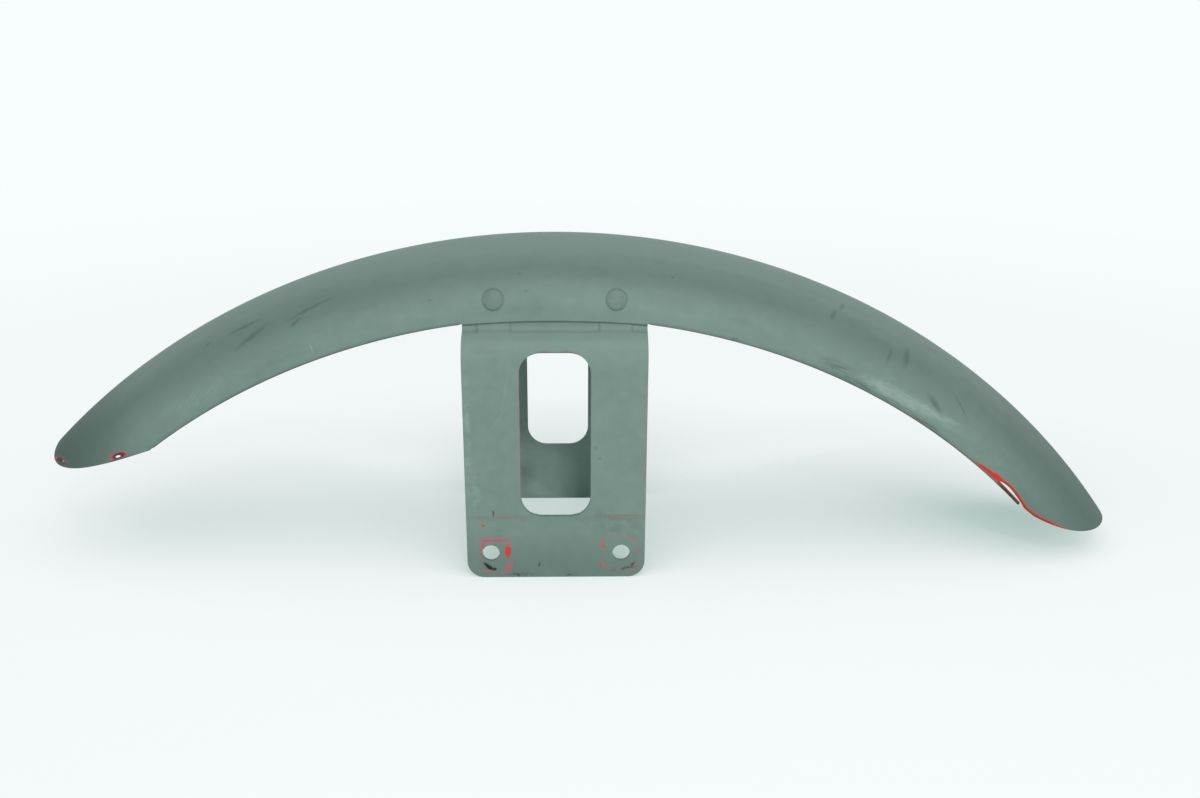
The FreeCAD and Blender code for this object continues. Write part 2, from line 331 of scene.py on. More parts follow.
def both(tree, first, second):
    """Product of two masks, so what is left is where both of them are."""
    return add_node(tree, "ShaderNodeMath", {"operation": "MULTIPLY"}, {0: first, 1: second})


def spots(tree, place, ovals, soft, strength, within):
    """Mask of a strength inside any of the ovals, fading across their rims and kept within another mask.

    An oval is its centre, half length and half width in millimetres on the pattern, then its turn in degrees.
    """
    mask = None
    for x, y, half_length, half_width, turn in ovals:
        oval = {
            "vector_type": "TEXTURE",
            "Location": (x * mm, y * mm, 0),
            "Rotation": (0, 0, np.radians(turn)),
            "Scale": (half_length * mm, half_width * mm, 1),
        }
        reach = add_node(tree, "ShaderNodeMapping", oval, {"Vector": place})
        reach = add_node(tree, "ShaderNodeVectorMath", {"operation": "LENGTH"}, {0: reach}, 1)
        fade = {"From Min": 1 + soft, "From Max": 1 - soft, "To Max": strength}
        spot = add_node(tree, "ShaderNodeMapRange", fade, {"Value": reach})
        if mask is None:
            mask = spot
        else:
            mask = add_node(tree, "ShaderNodeMath", {"operation": "MAXIMUM"}, {0: mask, 1: spot})
    return both(tree, mask, within)


def sheet_masks(tree, shift):
    """Places and masks for wear on a sheet, read from its pattern and from its edge and depth attributes.

    The pattern place is shifted along its second axis, and the ragged place is pushed about by noise.
    The rim is the distance to the cut edge in metres, and the outer face is where the depth is 0.
    Streaked and blotched are noise cut off at a level, on the outer face alone.
    """
    pattern = add_node(tree, "ShaderNodeUVMap", {"uv_map": "pattern"}, {})
    place = add_node(tree, "ShaderNodeMapping", {"Location": (0, shift, 0)}, {"Vector": pattern})
    crumb = {"Scale": 1 / (1.6 * mm), "Detail": 3}
    crumbs = add_node(tree, "ShaderNodeTexNoise", crumb, {"Vector": place}, 1)
    centred = {"operation": "SUBTRACT", 1: (0.5, 0.5, 0.5)}
    crumbs = add_node(tree, "ShaderNodeVectorMath", centred, {0: crumbs})
    push = {"operation": "MULTIPLY_ADD", 1: (1.8 * mm, 1.8 * mm, 0)}
    ragged = add_node(tree, "ShaderNodeVectorMath", push, {0: crumbs, 2: place})
    streak_size = {"Scale": (1 / (9 * mm), 1 / (0.8 * mm), 1)}
    streaks = add_node(tree, "ShaderNodeMapping", streak_size, {"Vector": place})
    streaks = add_node(tree, "ShaderNodeTexNoise", {"Scale": 1, "Detail": 4}, {"Vector": streaks})
    streaks = add_node(tree, "ShaderNodeMapRange", {"From Min": 0.4, "From Max": 0.62}, {"Value": streaks})
    blotch = {"Scale": 1 / (4 * mm), "Detail": 5}
    blotches = add_node(tree, "ShaderNodeTexNoise", blotch, {"Vector": place})
    blotches = add_node(tree, "ShaderNodeMapRange", {"From Min": 0.42, "From Max": 0.62}, {"Value": blotches})
    rim = add_node(tree, "ShaderNodeAttribute", {"attribute_name": "edge"}, {}, "Fac")
    depth = add_node(tree, "ShaderNodeAttribute", {"attribute_name": "depth"}, {}, "Fac")
    outer = add_node(tree, "ShaderNodeMapRange", {"From Min": 0.3, "From Max": 0.1}, {"Value": depth})
    return place, ragged, both(tree, streaks, outer), both(tree, blotches, outer), rim, outer


def enamel(name, wear):
    """Matt grey-green enamel, with the coats that wear(tree) lists laid over it from the bottom one up.

    Two close shades are mixed by clouds and mottling, and a fine grain breaks up the gloss and the surface.
    A coat is a mask, a colour and a roughness, and it hides what lies under it where its mask is 1.
    """
    paint = bpy.data.materials.new(name)
    paint.use_nodes = True
    tree = paint.node_tree
    place = add_node(tree, "ShaderNodeTexCoord", {}, {}, "Object")
    clouds = add_node(tree, "ShaderNodeTexNoise", {"Scale": 1 / (40 * mm), "Detail": 3}, {"Vector": place})
    mottle = add_node(tree, "ShaderNodeTexNoise", {"Scale": 1 / (6 * mm), "Detail": 4}, {"Vector": place})
    grain = add_node(tree, "ShaderNodeTexNoise", {"Scale": 1 / (0.9 * mm), "Detail": 2}, {"Vector": place})
    shade = add_node(tree, "ShaderNodeMath", {"operation": "ADD"}, {0: clouds, 1: mottle})
    shade = add_node(tree, "ShaderNodeMapRange", {"From Min": 0.75, "From Max": 1.25}, {"Value": shade})
    shades = {"data_type": "RGBA", 6: linear(enamel_dark), 7: linear(enamel_light)}
    colour = add_node(tree, "ShaderNodeMix", shades, {0: shade}, 2)
    matt = {"From Min": 0.3, "From Max": 0.7, "To Min": 0.55, "To Max": 0.65}
    roughness = add_node(tree, "ShaderNodeMapRange", matt, {"Value": grain})
    for mask, code, gloss in wear(tree):
        coat = {"data_type": "RGBA", 7: linear(code)}
        colour = add_node(tree, "ShaderNodeMix", coat, {0: mask, 6: colour}, 2)
        roughness = add_node(tree, "ShaderNodeMix", {3: gloss}, {0: mask, 2: roughness})
    bump = {"Strength": 0.12, "Distance": 0.1 * mm}
    bump = add_node(tree, "ShaderNodeBump", bump, {"Height": grain})
    shader = tree.nodes["Principled BSDF"]
    shader.inputs["Specular IOR Level"].default_value = 0.2
    tree.links.new(colour, shader.inputs["Base Color"])
    tree.links.new(roughness, shader.inputs["Roughness"])
    tree.links.new(bump, shader.inputs["Normal"])
    return paint


# Brushed enamel over red undercoat: dull and even, with a painted highlight on the bend below the blade,
# painted shade along the recess lines, and darker feet.
# Bolt heads have worn it through to rings of pink and red undercoat round the holes.
enamel_light = "#7A9088"
enamel_dark = "#748981"
# Besides dust, this colour paints a highlight on the bracket's bend and along the blade's crown.
dust_and_painted_light = "#859B93"
# Besides grime, this colour paints shade along the bracket's recess lines.
grime_and_painted_shade = "#61716A"
black_mark = "#23282A"
red_undercoat = "#CE3A2C"
pink_undercoat = "#C05764"
rust_brown = "#8F655C"
bolt_prints = [(-29.3, 11.5, 7.7, 8.7, 0.7), (30.9, 12.8, 8.9, 8.7, 0.45)]


def bracket_wear(tree):
    """Coats on the bracket, with the near leg's marks placed by their way along and height in millimetres.

    A bolt's print is a rounded square ring: where x^4 + z^4 is about 1, in units of its half sizes.
    It is listed as its place, its half sizes and its strength. The bitten edge is a ragged band along the
    cut edge. The far leg's marks lie on its inner face and are measured up from its own foot.
    """
    leg, ragged, streaked, blotched, rim, outer = sheet_masks(tree, strip_half)
    hairline = {"From Min": 0.8 * mm, "From Max": 0.3 * mm}
    hairline = add_node(tree, "ShaderNodeMapRange", hairline, {"Value": rim})
    bite = {"Scale": 1 / (2.5 * mm), "Detail": 3}
    bites = add_node(tree, "ShaderNodeTexNoise", bite, {"Vector": leg})
    bitten = {"operation": "MULTIPLY_ADD", 1: -1.4 * mm}
    bitten = add_node(tree, "ShaderNodeMath", bitten, {0: bites, 2: rim})
    bitten_edge = {"From Min": 0.2 * mm, "From Max": 0}
    bitten_edge = add_node(tree, "ShaderNodeMapRange", bitten_edge, {"Value": bitten})
    inner = add_node(tree, "ShaderNodeMath", {"operation": "SUBTRACT", 0: 1}, {1: outer})
    recess_low = (strip_half - recess_end) / mm
    # Painted shade: thin dark lines along the edges of the pressed recesses, where the step shades them.
    recess_painted_shade = [
        (0, recess_low, 21, 0.5, 0),
        (-20.7, recess_low + 3, 0.5, 3.5, 0),
        (20.7, recess_low + 3, 0.5, 3.5, 0),
        (-40, recess_low, 4, 0.5, 0),
        (40, recess_low, 4, 0.5, 0),
        (-36.2, recess_low + 2, 0.5, 2, 0),
        (36.2, recess_low + 2, 0.5, 2, 0),
    ]
    # Painted highlight: the bend below the blade is made paler where the blade's overhang shades it.
    bend_painted_highlight = [(0, 122.5, 75, 5, 0)]
    # Darker towards the bottom of each foot.
    feet_darkening = [(0, 2, 70, 14, 0)]
    foot_stain = [(30, 27, 12, 5, -10), (23, 34, 7, 3, 0)]
    far_foot = 2 * strip_half / mm
    far_dust = [(-13, far_foot - 7.5, 6, 2.6, 35), (-11, far_foot - 4, 5, 1.5, 10)]
    far_grime = [(-18.5, far_foot - 15.5, 4, 5, 0)]
    dusty_edge = [(-41.5, 70, 1.6, 32, 0), (-38.5, 46, 2, 9, 0)]
    scratches = [(-23.5, 95.5, 11.5, 0.5, 79), (-26.5, 83, 7, 0.4, 55)]
    fold_rust = [(-27.8, 32.3, 14, 0.9, 0), (31, 32.6, 12, 1.6, 0)]
    coats = [
        (spots(tree, leg, recess_painted_shade, 0.6, 0.35, outer), grime_and_painted_shade, 0.7),
        (spots(tree, leg, bend_painted_highlight, 0.4, 0.7, outer), dust_and_painted_light, 0.65),
        (spots(tree, leg, feet_darkening, 0.6, 0.45, outer), grime_and_painted_shade, 0.6),
        (spots(tree, leg, foot_stain, 0.6, 0.4, blotched), grime_and_painted_shade, 0.6),
        (spots(tree, ragged, far_dust, 0.8, 0.8, inner), dust_and_painted_light, 0.7),
        (spots(tree, ragged, far_grime, 0.9, 0.7, inner), grime_and_painted_shade, 0.6),
        (spots(tree, ragged, dusty_edge, 0.5, 1, blotched), dust_and_painted_light, 0.7),
        (spots(tree, leg, scratches, 0.6, 0.35, outer), dust_and_painted_light, 0.7),
        (spots(tree, ragged, fold_rust, 0.5, 0.5, streaked), rust_brown, 0.6),
    ]
    for x, z, half_width, half_height, strength in bolt_prints:
        oval = {
            "vector_type": "TEXTURE",
            "Location": (x * mm, z * mm, 0),
            "Scale": (half_width * mm, half_height * mm, 1),
        }
        square = add_node(tree, "ShaderNodeMapping", oval, {"Vector": ragged})
        square = add_node(tree, "ShaderNodeVectorMath", {"operation": "MULTIPLY"}, {0: square, 1: square})
        ring = add_node(tree, "ShaderNodeVectorMath", {"operation": "DOT_PRODUCT"}, {0: square, 1: square}, 1)
        ring = add_node(tree, "ShaderNodeMath", {"operation": "SUBTRACT", 1: 1}, {0: ring})
        ring = add_node(tree, "ShaderNodeMath", {"operation": "ABSOLUTE"}, {0: ring})
        band = {"From Min": 0.35, "From Max": 0.12, "To Max": strength}
        ring = add_node(tree, "ShaderNodeMapRange", band, {"Value": ring})
        coats.append((both(tree, ring, blotched), pink_undercoat, 0.5))
    print_pink = [
        (-30, 19.8, 7, 0.9, 0),
        (-35.6, 17, 0.8, 3, -20),
        (-23.2, 5, 1.4, 2.6, 0),
        (23, 16.5, 0.7, 2, 0),
        (23, 6.5, 0.8, 1.3, 0),
    ]
    print_red = [(-23.4, 14, 1.6, 3.4, 0), (-35.2, 28, 1.5, 0.4, 0)]
    window_rust = [(-4.2, 116, 2, 2, 0), (5.5, 116, 2.6, 2, 0)]
    edge_pink = [(43.5, 65, 2, 34, 0), (-17.4, 78, 2, 32, 0)]
    black_chips = [(-33, 5.8, 3, 1, -38), (-30, 4.4, 1, 0.8, 0)]
    black_ticks = [(-8.2, 7.2, 0.5, 1.2, -15), (-30, 34.6, 0.5, 1.5, 0)]
    black_stains = [(33, 4.6, 5, 0.7, 8), (37.6, 7, 0.7, 2, -25), (-17, 1.6, 6, 0.8, 0), (8, 1.2, 4, 0.5, 0)]
    leg_specks = [(19, 68, 0.7, 0.8, 0), (21, 63, 0.9, 0.5, 0)]
    return coats + [
        (spots(tree, ragged, print_pink, 0.4, 0.7, outer), pink_undercoat, 0.5),
        (spots(tree, ragged, print_red, 0.3, 0.9, outer), red_undercoat, 0.45),
        (spots(tree, leg, window_rust, 0.3, 0.7, hairline), rust_brown, 0.5),
        (spots(tree, leg, edge_pink, 0.3, 0.2, bitten_edge), pink_undercoat, 0.55),
        (spots(tree, ragged, black_chips, 0.3, 1, outer), black_mark, 0.5),
        (spots(tree, ragged, black_ticks, 0.5, 0.65, outer), black_mark, 0.6),
        (spots(tree, ragged, black_stains, 0.5, 0.7, blotched), black_mark, 0.6),
        (spots(tree, ragged, leg_specks, 0.5, 0.6, outer), grime_and_painted_shade, 0.6),
    ]


bracket.data.materials.append(enamel("brushed_enamel_on_bracket", bracket_wear))


# Fender blade
# One strip of 1.3 mm steel, rolled to an arc and pressed to a deep channel with lips turned in.
# It lies over the saddle and is riveted to it, and its ends are cut to rounded tongues.
blade_sheet = 1.3 * mm
blade_half = blade_high.y
lip_bend = 2.5 * mm
lip_flat = 2.5 * mm
lip_blend = 0.8 * mm
relief_past_leg = 0.9 * mm
lip_relief = np.arcsin((half_bracket + relief_past_leg) / edge_radius) * crown_radius
relief_lift = 0.5 * mm
relief_sag = 1.1 * mm
front_tip = 45.1
front_kink = 36.8
front_square_depth = 3.5 * mm
front_bulge_angle = 0.1
front_bulge_depth = 13.5 * mm
rear_tip = 53.75
rear_kink = 45.4
rear_square_depth = 0.4 * mm
rear_bulge_angle = 3.2
rear_bulge_depth = 26.5 * mm

blade_shoulder = arc((0, shoulder_radius), (blade_half, blade_depth - side_straight), 90, 0)
blade_lip = [(blade_half - lip_bend - lip_flat, edge_radius)]
lip_arc = arc((blade_half - lip_bend, edge_radius + lip_bend), (lip_bend, lip_bend), 0, -90)
lipped_section = half_section([blade_shoulder, lip_arc, blade_lip])
plain_section = half_section([blade_shoulder, [(blade_half, edge_radius - lip_bend - lip_flat)]])
side_place = np.interp(-edge_radius, -plain_section[1][:, 1], plain_section[0])
lip_place = lipped_section[0][-1]


def rolled(angle):
    """Length along the crown from the top of the arc to an angle in degrees."""
    return crown_radius * np.radians(angle)


def end_outline(tip, square_depth, bulge_angle, bulge_depth, kink):
    """Pattern points of one end's outline on one side, from the crown down to the kink at the lower edge.

    Three poles at an angle and a depth below the crown draw a quadratic Bezier curve in side view.
    Its points are turned back to angle and depth, and the depth to length along the plain section.
    """
    angles = np.radians([tip, tip - bulge_angle, kink])
    radii = crown_radius - np.array([square_depth, bulge_depth, blade_depth])
    poles = np.stack([radii * np.sin(angles), radii * np.cos(angles)], 1)
    t = np.linspace(0, 1, 60)[:, None]
    curve = (1 - t) ** 2 * poles[0] + 2 * t * (1 - t) * poles[1] + t ** 2 * poles[2]
    across = np.interp(-np.hypot(*curve.T), -plain_section[1][:, 1], plain_section[0])
    return np.stack([crown_radius * np.arctan2(curve[:, 0], curve[:, 1]), across], 1)


def blade_face(pattern, depth):
    """Place of each pattern point: along the crown's arc, and across the channel from its crown.

    The section, plain or with its lip turned in, is carried round the axle by the angle along / radius.
    The lip fades to plain at the bracket and at the kinks.
    """
    along, across = pattern.T
    lip = np.zeros(len(pattern))
    for start, stop in ((-rolled(front_kink), -lip_relief), (lip_relief, rolled(rear_kink))):
        lip += ramp(along, start - lip_blend, start) * ramp(-along, -stop - lip_blend, -stop)
    lipped = read_section(lipped_section, np.abs(across))
    plain = read_section(plain_section, np.abs(across))
    y, radius, out, up = lip * lipped + (1 - lip) * plain
    turn = along / crown_radius
    side = np.sign(across)
    place = np.stack([arc_x + radius * np.sin(turn), side * y, axle_z + radius * np.cos(turn)], 1)
    normal = np.stack([up * np.sin(turn), side * out, up * np.cos(turn)], 1)
    return place - depth * normal / np.linalg.norm(normal, axis=1)[:, None]


front = end_outline(front_tip, front_square_depth, front_bulge_angle, front_bulge_depth, front_kink) * (-1, 1)
rear = end_outline(rear_tip, rear_square_depth, rear_bulge_angle, rear_bulge_depth, rear_kink)
relief = np.linspace(lip_relief, -lip_relief, 60)
relief_edge = side_place - relief_lift + relief_sag * (1 - (relief / lip_relief) ** 2)
far_edge = np.concatenate([
    [(rolled(rear_kink), lip_place), (lip_relief, lip_place)],
    np.stack([relief, relief_edge], 1),
    [(-lip_relief, lip_place), (-rolled(front_kink), lip_place)],
])
near_edge = far_edge[::-1] * (1, -1)

# The near edge is torn at the rear: the skin is gone above a thin finger of lip, which ends free.
tear_margin = 6 * mm
tear_poles = np.array([(261.4, -55.6), (267, -53.6), (273, -54.6), (284.4, -56.3)]) * mm
t = np.linspace(0, 1, 40)[:, None]
weights = np.concatenate([(1 - t) ** 3, 3 * t * (1 - t) ** 2, 3 * t ** 2 * (1 - t), t ** 3], 1)
torn_edge = weights @ tear_poles
finger_tip = np.array([(281, -57.8), (280.3, -57), (272, -56.6), (262.5, -56.1)]) * mm
torn_rear = rear[rear[:, 0] > tear_poles[3, 0] + tear_margin] * (1, -1)
blade_outline = np.concatenate([
    near_edge, finger_tip, torn_edge, torn_rear[::-1], rear, far_edge, front[::-1], front * (1, -1),
])
rivet_row = 332.9 * mm
rivet_along = crown_radius * np.arcsin(rivet_half / rivet_row)
rivet_across = np.interp(-rivet_row, -plain_section[1][:, 1], plain_section[0])
hole_half_length = 1.7 * mm
hole_half_width = 0.6 * mm
hole_place = np.array([-244.9, -50]) * mm
hole_slope = np.radians(-20)
hole_axes = np.array([(np.cos(hole_slope), np.sin(hole_slope)), (-np.sin(hole_slope), np.cos(hole_slope))])
front_hole = arc((0, 0), (hole_half_length, hole_half_width), 0, 350, 36) @ hole_axes + hole_place
blade_loops = [blade_outline]
for side in (-1, 1):
    hole = front_hole * (1, -side)
    blade_loops.append(hole[::side])
    for end in (-1, 1):
        rivet = (end * rivet_along, side * rivet_across)
        blade_loops.append(rounded_loop(rivet, (rivet_hole, rivet_hole), rivet_hole)[::-1])
along_step = 2.8 * mm
across_step = 1.4 * mm
lip_step = 0.4 * mm
lip_margin = 3 * mm
lip_start = side_place - lip_margin
blade_columns = np.arange(-rolled(front_tip), rolled(rear_tip), along_step)
blade_rows = np.append(np.arange(0, lip_start, across_step), np.arange(lip_start, lip_place, lip_step))
blade_rows = np.unique(np.concatenate([-blade_rows, blade_rows]))
blade = trimmed_sheet("blade", blade_loops, blade_columns, blade_rows, blade_face, blade_sheet)
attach(blade, "root")
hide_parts("fender_blade")

# The same enamel on the blade: painted shade towards the tips, along the shoulders, along the lip and round
# the rivet heads, and a painted highlight along the crown.
# It is scuffed pale along the near side, and torn or knocked back to red undercoat, brown steel and white
# filler at the ends; its torn finger of lip is painted dark as shade.
scuffed_enamel = "#93A8A1"
# Besides stains, this colour paints shade towards the tips, along the shoulders and round the rivet heads.
stain_and_painted_shade = "#586E65"
# Besides dark marks, this colour paints shade at the front tip and along the lip.
dark_mark_and_painted_shade = "#42504A"
# Besides bare steel, this colour paints the torn finger of lip dark, as red undercoat in shade.
brown_steel_and_painted_shade = "#4A3A37"
white_filler = "#C9CCCB"


def blade_wear(tree):
    """Coats on the blade, with marks placed along the crown and across from it in millimetres.

    The hatching is streak noise turned 20 degrees. The torn band is as wide as its own spots are strong,
    so it narrows where they fade.
    """
    place, ragged, streaked, blotched, rim, outer = sheet_masks(tree, 0)
    smear = {"Scale": (1 / (45 * mm), 1 / (9 * mm), 1)}
    smears = add_node(tree, "ShaderNodeMapping", smear, {"Vector": place})
    smears = add_node(tree, "ShaderNodeTexNoise", {"Scale": 1, "Detail": 5}, {"Vector": smears})
    smeared = {"From Min": 0.5, "From Max": 0.75, "To Max": 0.25}
    smears = add_node(tree, "ShaderNodeMapRange", smeared, {"Value": smears})
    hatch = {
        "vector_type": "TEXTURE",
        "Rotation": (0, 0, np.radians(20)),
        "Scale": (8 * mm, 0.7 * mm, 1),
    }
    hatching = add_node(tree, "ShaderNodeMapping", hatch, {"Vector": place})
    hatching = add_node(tree, "ShaderNodeTexNoise", {"Scale": 1, "Detail": 2}, {"Vector": hatching})
    hatching = add_node(tree, "ShaderNodeMapRange", {"From Min": 0.45, "From Max": 0.65}, {"Value": hatching})
    torn_width = 1.6 * mm
    torn = spots(tree, ragged, [(286, -55, 32, 9, 0)], 0.4, torn_width, outer)
    torn = add_node(tree, "ShaderNodeMath", {"operation": "SUBTRACT"}, {0: torn, 1: rim})
    torn = add_node(tree, "ShaderNodeMapRange", {"From Max": 0.3 * mm}, {"Value": torn})
    hairline = {"From Min": 1 * mm, "From Max": 0.4 * mm}
    hairline = add_node(tree, "ShaderNodeMapRange", hairline, {"Value": rim})
    # Painted highlight: a paler band along the top of the crown.
    crown_painted_highlight = [(-10, 0, 230, 22, 0)]
    # Painted shade: darker towards both tips, where the ends turn away from the light, deepest at the front
    # tip.
    tip_painted_shade = [(-292, 0, 50, 90, 0)]
    tip_shade = [(-292, 0, 40, 90, 0)]
    rear_tip_painted_shade = [(348, 0, 72, 90, 0)]
    hatched = [(-191, -49, 11, 3.4, 0)]
    # Painted shade: a darker band along each shoulder of the channel.
    shoulder_painted_shade = [(10, -34, 400, 8, 0), (10, 34, 400, 8, 0)]
    # Painted shade: a dark line along the lip, where it turns under.
    lip_painted_shade = []
    for side in (-1, 1):
        lip_painted_shade += [(-139, side * 58.4, 89, 1.3, 0), (165, side * 58.4, 116, 1.3, 0)]
    # Painted shade: a dark disc a little wider than each rivet head, so a dark ring shows round it.
    rivet_painted_shade = []
    for end in (-1, 1):
        for side in (-1, 1):
            rivet_painted_shade.append((end * rivet_along / mm, side * rivet_across / mm, 5.4, 5.4, 0))
    scuff = [(190, -51, 25, 2.4, 2), (178, -51.6, 10, 2.3, 0), (205, -50, 11, 1.7, 5), (214, -49, 7, 1.2, 9)]
    scuff_core = [(176, -51.6, 9, 2.6, -4), (192, -51.2, 14, 2, 4)]
    low_band = [(150, -51.6, 8, 2, 0), (163, -55, 12, 1.5, 0), (181, -55.8, 9, 1.2, 0), (207, -56, 9, 1.3, 0)]
    strokes = [
        (-152, -34.6, 6.2, 1.1, 17),
        (-155.5, -27, 6, 0.8, 2),
        (-175.4, -26.3, 1.6, 0.5, 20),
        (-120, -32, 9, 0.6, 10),
        (-128.8, -36.7, 2.5, 0.8, 24),
        (205, -45.5, 4.9, 1.1, -21),
    ]
    faint_strokes = [
        (172.3, -35.6, 3.2, 0.7, 85),
        (181.5, -32, 1.4, 5, 0),
        (139, -27.3, 1, 3, -20),
        (143.5, -18.5, 0.9, 2.6, -20),
        (195.7, -14.6, 1.5, 0.7, 0),
        (218, -38.5, 6, 0.5, -31),
    ]
    specks = [
        (-61, -43.6, 1.2, 0.6, 20),
        (-17, -35, 0.9, 0.5, 30),
        (-14, -43.6, 1, 0.5, 10),
        (57, -32.4, 0.8, 0.5, 0),
        (93.7, -56, 2, 1, 0),
    ]
    pale_ticks = [(-125, -51, 0.5, 2, 0), (-43, -9.3, 1, 0.6, 0)]
    lip_rust = [(209, -57.6, 45, 0.9, 0)]
    red_strip = [(252.5, -55.6, 8.5, 0.9, 5), (259, -55, 5, 1.6, 7)]
    torn_rim = [(284, -55, 24, 6, 0)]
    # Painted shade: the finger of lip under the tear is dark brown, standing for red undercoat in shade.
    finger_painted_shade = [(272, -59, 11, 2.8, 0)]
    hole_ring = [(-244.3, -49.9, 4.9, 2, -21)]
    hole_rim = [(-244.4, -49.9, 6, 4, -21)]
    hole_core = [(-243.8, -49.9, 3.5, 1.3, -21)]
    tip_chip = [(-274.4, -29.2, 7, 1.7, -59)]
    chip_core = [(-275, -28.4, 4.5, 1, -59)]
    filler = [(-277.6, -24.3, 0.5, 0.5, 0), (-273, -31, 0.7, 0.4, -58)]
    return [
        (smears, stain_and_painted_shade, 0.6),
        (spots(tree, place, crown_painted_highlight, 0.5, 0.9, outer), dust_and_painted_light, 0.65),
        (spots(tree, place, shoulder_painted_shade, 0.8, 0.45, outer), stain_and_painted_shade, 0.6),
        (spots(tree, place, tip_painted_shade, 0.5, 1, outer), stain_and_painted_shade, 0.6),
        (spots(tree, place, tip_shade, 0.6, 0.4, outer), dark_mark_and_painted_shade, 0.6),
        (spots(tree, place, rear_tip_painted_shade, 0.5, 0.65, outer), stain_and_painted_shade, 0.6),
        (spots(tree, place, rivet_painted_shade, 0.12, 0.7, outer), stain_and_painted_shade, 0.7),
        (spots(tree, ragged, hatched, 0.5, 0.35, hatching), scuffed_enamel, 0.65),
        (spots(tree, ragged, scuff, 0.7, 0.4, outer), scuffed_enamel, 0.7),
        (spots(tree, ragged, scuff, 0.5, 0.7, streaked), scuffed_enamel, 0.7),
        (spots(tree, ragged, pale_ticks, 0.5, 0.5, outer), scuffed_enamel, 0.7),
        (spots(tree, ragged, low_band, 0.7, 0.6, streaked), dark_mark_and_painted_shade, 0.6),
        (spots(tree, ragged, scuff_core, 0.6, 0.7, blotched), scuffed_enamel, 0.7),
        (spots(tree, ragged, faint_strokes, 0.8, 0.4, outer), dark_mark_and_painted_shade, 0.6),
        (spots(tree, ragged, strokes, 0.9, 0.55, outer), dark_mark_and_painted_shade, 0.6),
        (spots(tree, ragged, specks, 0.6, 0.35, outer), dark_mark_and_painted_shade, 0.6),
        (spots(tree, place, lip_painted_shade, 0.3, 0.75, outer), dark_mark_and_painted_shade, 0.65),
        (spots(tree, ragged, lip_rust, 0.4, 0.9, streaked), rust_brown, 0.6),
        (spots(tree, ragged, red_strip, 0.3, 1, outer), red_undercoat, 0.45),
        (torn, red_undercoat, 0.45),
        (spots(tree, place, torn_rim, 0.2, 0.6, hairline), brown_steel_and_painted_shade, 0.55),
        (spots(tree, ragged, hole_ring, 0.2, 0.75, outer), pink_undercoat, 0.5),
        (spots(tree, place, hole_rim, 0.15, 0.5, hairline), brown_steel_and_painted_shade, 0.6),
        (spots(tree, place, hole_core, 0.2, 0.9, outer), brown_steel_and_painted_shade, 0.6),
        (spots(tree, ragged, tip_chip, 0.5, 0.65, blotched), pink_undercoat, 0.5),
        (spots(tree, ragged, chip_core, 0.4, 0.9, outer), brown_steel_and_painted_shade, 0.6),
        (spots(tree, ragged, filler, 0.4, 0.6, outer), white_filler, 0.5),
        (spots(tree, place, finger_painted_shade, 0.15, 0.85, outer), brown_steel_and_painted_shade, 0.55),
    ]


blade.data.materials.append(enamel("brushed_enamel_on_blade", blade_wear))


# Rivets
# Four low-headed steel rivets, two on each side, set cold through the blade and the saddle.
# They are brushed over with the same enamel as the blade, so only their low heads show.
rivets = frame["nodes"]["rivets"]


def rivet_wear(tree):
    """Coats on the rivets: a little stain left by the brush in soft patches a few millimetres wide."""
    place = add_node(tree, "ShaderNodeTexCoord", {}, {}, "Object")
    patches = add_node(tree, "ShaderNodeTexNoise", {"Scale": 1 / (3 * mm), "Detail": 3}, {"Vector": place})
    patchy = {"From Min": 0.35, "From Max": 0.7, "To Min": 0.2, "To Max": 0.5}
    patches = add_node(tree, "ShaderNodeMapRange", patchy, {"Value": patches})
    return [(patches, stain_and_painted_shade, 0.6)]


rivets.data.materials.clear()
rivets.data.materials.append(enamel("brushed_enamel_on_rivets", rivet_wear))


# Floor
# A wide sheet of matt white board that the fender stands on, lit like it and keeping its shadow.
# For the camera it is mostly plain white, and it fades to a green shade where the part hides the room.
floor_half = 6.0
board_white = "#F5FCFB"
floor_white = "#F8FDFD"
floor_shade = "#26806B"
shade_tilt = 50
shade_reach = 0.17
plain_share = 0.9
plain_start = 0.45
plain_stop = 1.1
floor_mesh = bpy.data.meshes.new("floor")
floor_corners = np.array([(-1, -1, 0), (1, -1, 0), (1, 1, 0), (-1, 1, 0)]) * floor_half
floor_mesh.from_pydata(floor_corners.tolist(), [], [(0, 1, 2, 3)])
floor = bpy.data.objects.new("floor", floor_mesh)
bpy.context.scene.collection.objects.link(floor)
board = bpy.data.materials.new("matt_white_board")
board.use_nodes = True
tree = board.node_tree
shader = tree.nodes["Principled BSDF"]
shader.inputs["Base Color"].default_value = linear(board_white)
shader.inputs["Roughness"].default_value = 0.9
shader.inputs["Specular IOR Level"].default_value = 0.1
tilt = np.radians(shade_tilt)
towards_room = {"X": 0, "Y": -np.sin(tilt), "Z": np.cos(tilt)}
towards_room = add_node(tree, "ShaderNodeCombineXYZ", towards_room, {})
open_share = {"samples": 32, "Distance": shade_reach}
open_share = add_node(tree, "ShaderNodeAmbientOcclusion", open_share, {"Normal": towards_room}, "AO")
shades = {"data_type": "RGBA", 6: linear(floor_shade), 7: linear(floor_white)}
shades = add_node(tree, "ShaderNodeMix", shades, {0: open_share}, 2)
plain = add_node(tree, "ShaderNodeEmission", {}, {"Color": shades})
place = add_node(tree, "ShaderNodeTexCoord", {}, {}, "Object")
distance = add_node(tree, "ShaderNodeVectorMath", {"operation": "LENGTH"}, {0: place}, 1)
fade = {"From Min": plain_start, "From Max": plain_stop, "To Min": plain_share}
lift = add_node(tree, "ShaderNodeMapRange", fade, {"Value": distance})
seen = add_node(tree, "ShaderNodeLightPath", {}, {}, "Is Camera Ray")
lift = both(tree, lift, seen)
mixed = add_node(tree, "ShaderNodeMixShader", {}, {0: lift, 1: shader.outputs[0], 2: plain})
tree.links.new(mixed, tree.nodes["Material Output"].inputs["Surface"])
floor_mesh.materials.append(board)


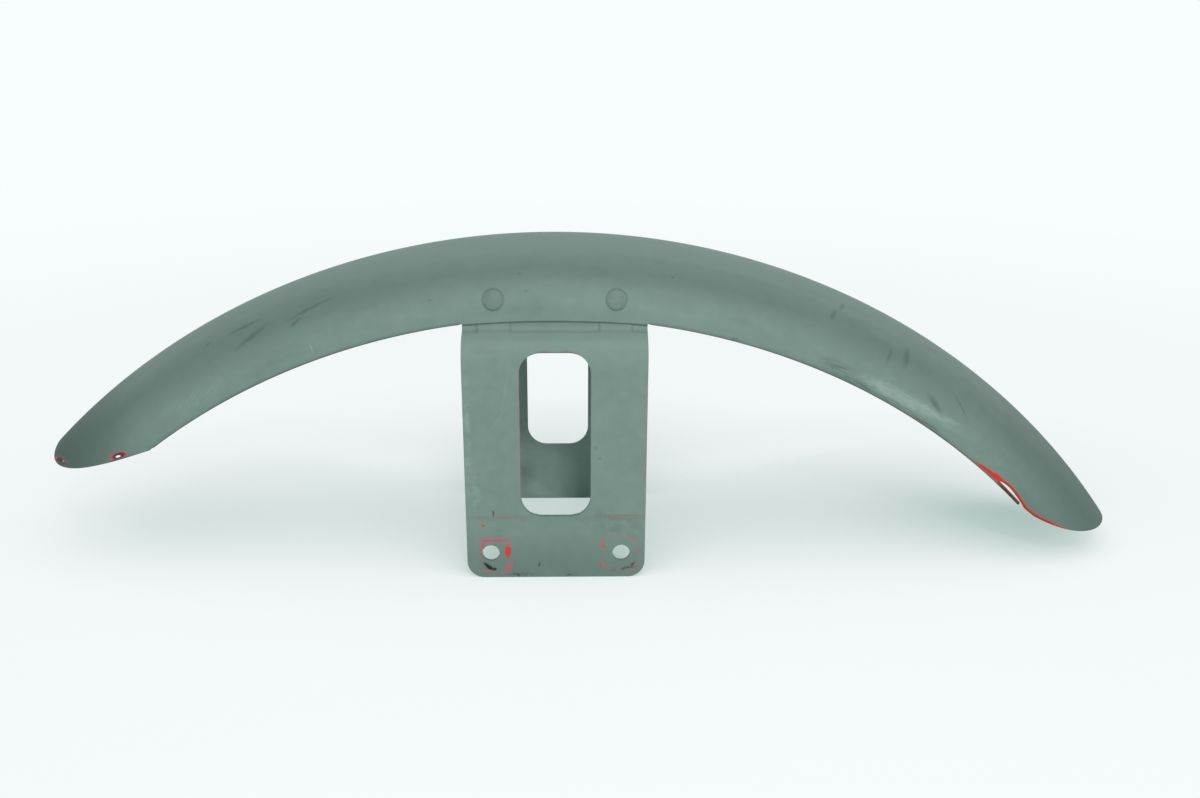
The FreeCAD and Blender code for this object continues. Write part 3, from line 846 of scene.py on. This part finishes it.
# Light
# A small lamp above the camera, and a pale room of light that is brightest behind the part and low down.
# The lamp is placed by its compass and height angles, as seen from the middle of the part.
lamp_compass = 6
lamp_height = 40
lamp_distance = 0.9
lamp_size = 0.1
lamp_watts = 3.75
least_facing = 0.5
room_low = 0.35
room_high = 0.65
room_bright = 1.9
room_dim = 0.3
part_middle = Vector((0, 0, 0.08))
turn, rise = np.radians([lamp_compass, lamp_height])
towards = Vector((np.sin(turn) * np.cos(rise), -np.cos(turn) * np.cos(rise), np.sin(rise)))
lamp = bpy.data.lights.new("key", "AREA")
lamp.size = lamp_size
lamp.energy = lamp_watts
light = bpy.data.objects.new("key", lamp)
light.location = part_middle + lamp_distance * towards
light.rotation_euler = towards.to_track_quat("Z", "Y").to_euler()
bpy.context.scene.collection.objects.link(light)

world = bpy.data.worlds.new("studio")
bpy.context.scene.world = world
world.use_nodes = True
tree = world.node_tree
direction = add_node(tree, "ShaderNodeTexCoord", {}, {}, "Generated")
facing = {"operation": "DOT_PRODUCT", 1: (0, 1, 0)}
facing = add_node(tree, "ShaderNodeVectorMath", facing, {0: direction}, 1)
facing = add_node(tree, "ShaderNodeMath", {"operation": "MAXIMUM", 1: least_facing}, {0: facing})
climb = {"operation": "DOT_PRODUCT", 1: (0, 0, 1)}
climb = add_node(tree, "ShaderNodeVectorMath", climb, {0: direction}, 1)
room = {"From Min": room_high, "From Max": room_low, "To Min": room_dim, "To Max": room_bright}
room = add_node(tree, "ShaderNodeMapRange", room, {"Value": climb})
strength = both(tree, facing, room)
for ray in ("Is Camera Ray", "Is Glossy Ray", "Is Transmission Ray"):
    seen = add_node(tree, "ShaderNodeLightPath", {}, {}, ray)
    strength = add_node(tree, "ShaderNodeMix", {3: 1}, {0: seen, 2: strength})
background = tree.nodes["Background"]
background.inputs["Color"].default_value = linear(floor_white)
tree.links.new(strength, background.inputs["Strength"])


# Camera
# The photograph's own viewpoint: in front of the near leg, a little above the crown, looking slightly down.
camera_lens = 35.18
camera_sensor = 36
camera_place = (-0.00926, -0.5655, 0.2720)
pitch, yaw, roll = np.radians([19.14, 1.42, 0.355])
camera_data = bpy.data.cameras.new("camera")
camera_data.lens = camera_lens
camera_data.sensor_width = camera_sensor
camera = bpy.data.objects.new("camera", camera_data)
heading = Matrix.Rotation(-yaw, 4, "Z") @ Matrix.Rotation(np.pi / 2 - pitch, 4, "X")
camera.matrix_world = Matrix.Translation(camera_place) @ heading @ Matrix.Rotation(roll, 4, "Z")
bpy.context.scene.collection.objects.link(camera)
bpy.context.scene.camera = camera
bpy.context.scene.view_settings.view_transform = "Standard"
